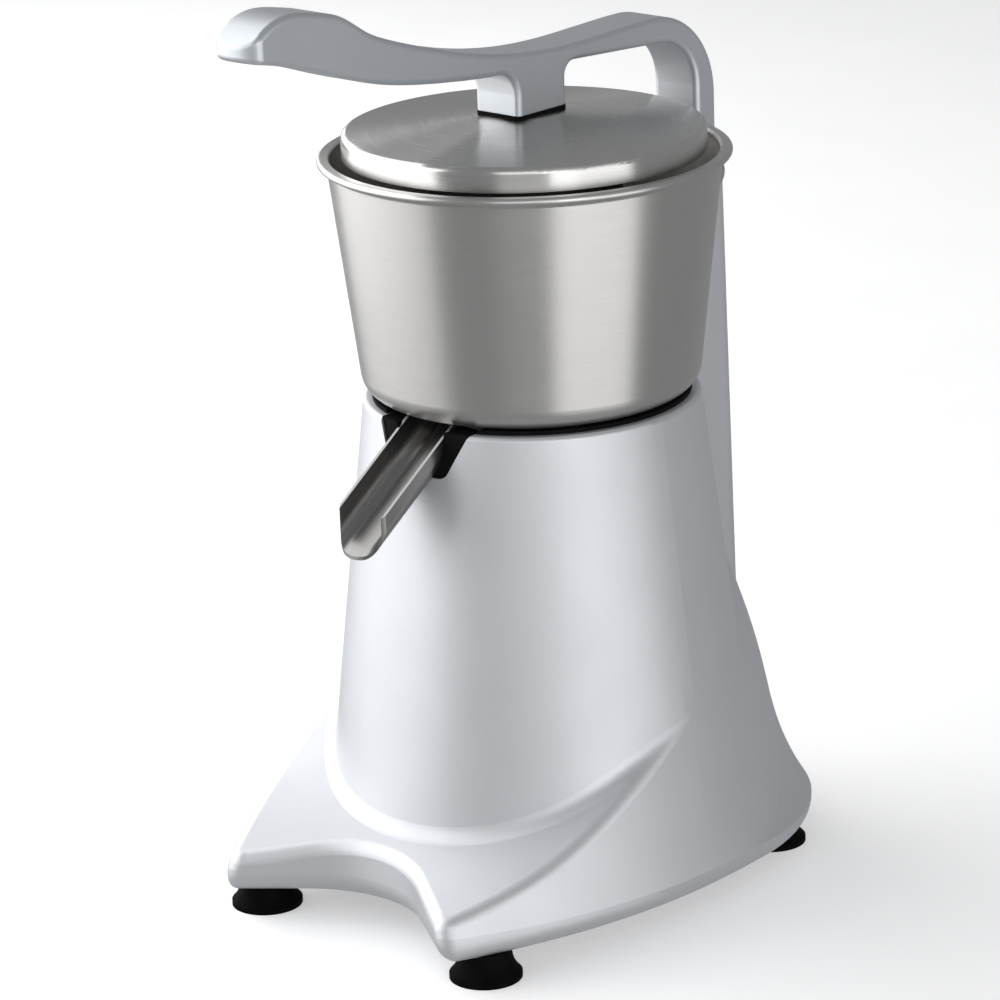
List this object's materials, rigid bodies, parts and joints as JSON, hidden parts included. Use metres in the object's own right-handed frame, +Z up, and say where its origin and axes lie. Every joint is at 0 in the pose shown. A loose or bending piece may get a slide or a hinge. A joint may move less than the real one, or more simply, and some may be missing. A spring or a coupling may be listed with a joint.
{
  "type": "lever citrus juicer",
  "caption": "Electric lever citrus juicer: cast body on a flared base, bowl with a spout, and a hinged lever that presses a lid over a spinning reamer.",
  "frame": {"origin": "centre of the bounding box's bottom, on the plane that the feet stand on", "axes": "+Z up, -Y to the front, where the spout and the lever's paddle point, +X to the right hand side seen from the front of the picture"},
  "size_m": [0.2346, 0.336, 0.4632],
  "materials": {
    "body_paint": "satin metallic silver paint on a casting",
    "lever_metal": "satin silver",
    "bowl_steel": "spun and brushed around",
    "lid_steel": "spun and brushed around",
    "spout_steel": "brushed lengthways",
    "strainer_steel": "satin",
    "foot_rubber": "matt",
    "seal_rubber": "matt",
    "reamer_plastic": "smooth",
    "cup_plastic": "smooth",
    "shaft_steel": "ground",
    "fastener_steel": "plated",
    "bush_bronze": "plain",
    "plate_steel": "zinc plated",
    "panel_metal": "satin grey",
    "core_steel": "stacked laminations",
    "winding_copper": "varnished copper",
    "motor_alloy": "die cast",
    "black_plastic": "moulded",
    "rocker_plastic": "moulded"
  },
  "bodies": {
    "body": {"housing": "body_paint", "bowl": "bowl_steel", "spout": "spout_steel", "strainer": "strainer_steel", "foot_front_left": "foot_rubber", "foot_front_right": "foot_rubber", "foot_rear_left": "foot_rubber", "foot_rear_right": "foot_rubber", "bowl_seal": "seal_rubber", "spout_seal": "seal_rubber", "shaft_seal": "seal_rubber", "upper_bearing": "shaft_steel", "lower_bearing": "shaft_steel", "foot_screws": "fastener_steel", "motor_screws": "fastener_steel", "panel_screws": "fastener_steel", "pivot_bushes": "bush_bronze", "base_plate": "plate_steel", "rear_panel": "panel_metal", "stator": "core_steel", "windings": "winding_copper", "motor_top_bell": "motor_alloy", "motor_bottom_bell": "motor_alloy", "capacitor": "black_plastic", "capacitor_cup": "black_plastic", "terminal_block": "black_plastic", "switch_body": "black_plastic", "cord_gland": "black_plastic", "gland_locknut": "black_plastic"},
    "lever": {"lever_arm": "lever_metal", "pivot_pin": "shaft_steel", "pivot_clips": "fastener_steel", "lid": "lid_steel", "lid_gasket": "seal_rubber", "press_cup": "cup_plastic", "lid_screw": "fastener_steel"},
    "drive": {"reamer": "reamer_plastic", "drive_shaft": "shaft_steel", "drive_pin": "shaft_steel", "rotor": "core_steel", "fan": "black_plastic"},
    "rocker": {"switch_rocker": "rocker_plastic"}
  },
  "joints": [
    {"name": "lever_pivot", "type": "hinge", "parent": "body", "child": "lever", "pos_m": [0, 0.136, 0.336], "axis": [-1, 0, 0], "range_deg": [0, 65]},
    {"name": "reamer_spin", "type": "hinge", "parent": "body", "child": "drive", "pos_m": [0, 0.024, 0.07], "axis": [0, 0, 1], "continuous": true},
    {"name": "switch_tilt", "type": "hinge", "parent": "body", "child": "rocker", "pos_m": [0, 0.147, 0.088], "axis": [-1, 0, 0], "range_deg": [0, 16]}
  ]
}
